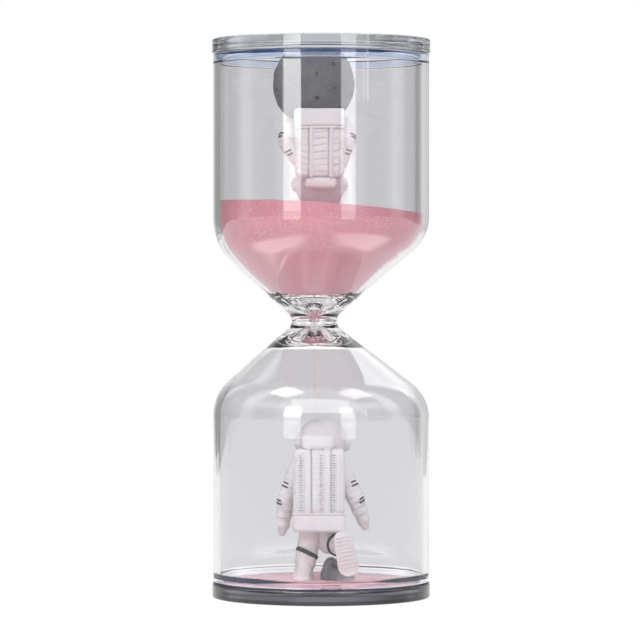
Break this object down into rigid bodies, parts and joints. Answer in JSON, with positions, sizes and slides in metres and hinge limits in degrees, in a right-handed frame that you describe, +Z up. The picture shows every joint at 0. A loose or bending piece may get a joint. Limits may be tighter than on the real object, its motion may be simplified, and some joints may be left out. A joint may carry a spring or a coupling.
{
  "type": "hourglass",
  "caption": "Sealed double-bulb glass hourglass with thick glass end discs, pink sand and an astronaut figure standing in one bulb and sitting on a moon in the other.",
  "frame": {"origin": "centre of the lower disc's flat underside", "axes": "+Z up from the lower disc to the upper disc, +Y the way both astronauts face, +X across the hourglass"},
  "size_m": [0.0752, 0.0752, 0.192],
  "materials": {
    "clear_glass": "polished",
    "blue_seal": "translucent adhesive",
    "pink_sand": "fine dyed sand",
    "white_resin": "painted resin",
    "dark_visor": "gloss paint",
    "moon_resin": "grainy painted resin"
  },
  "bodies": {
    "root": {"glass_body": "clear_glass", "bottom_disc": "clear_glass", "top_disc": "clear_glass", "bottom_seal_ring": "blue_seal", "top_seal_ring": "blue_seal", "walking_helmet": "white_resin", "walking_visor": "dark_visor", "walking_torso": "white_resin", "walking_backpack": "white_resin", "walking_left_leg": "white_resin", "walking_right_leg": "white_resin", "walking_left_arm": "white_resin", "walking_right_arm": "white_resin", "moon_rock": "moon_resin", "sitting_helmet": "white_resin", "sitting_visor": "dark_visor", "sitting_torso": "white_resin", "sitting_backpack": "white_resin", "sitting_left_leg": "white_resin", "sitting_right_leg": "white_resin", "sitting_left_arm": "white_resin", "sitting_right_arm": "white_resin", "moon_sphere": "moon_resin", "upper_sand": "pink_sand", "sand_stream": "pink_sand", "lower_sand": "pink_sand"}
  },
  "joints": []
}
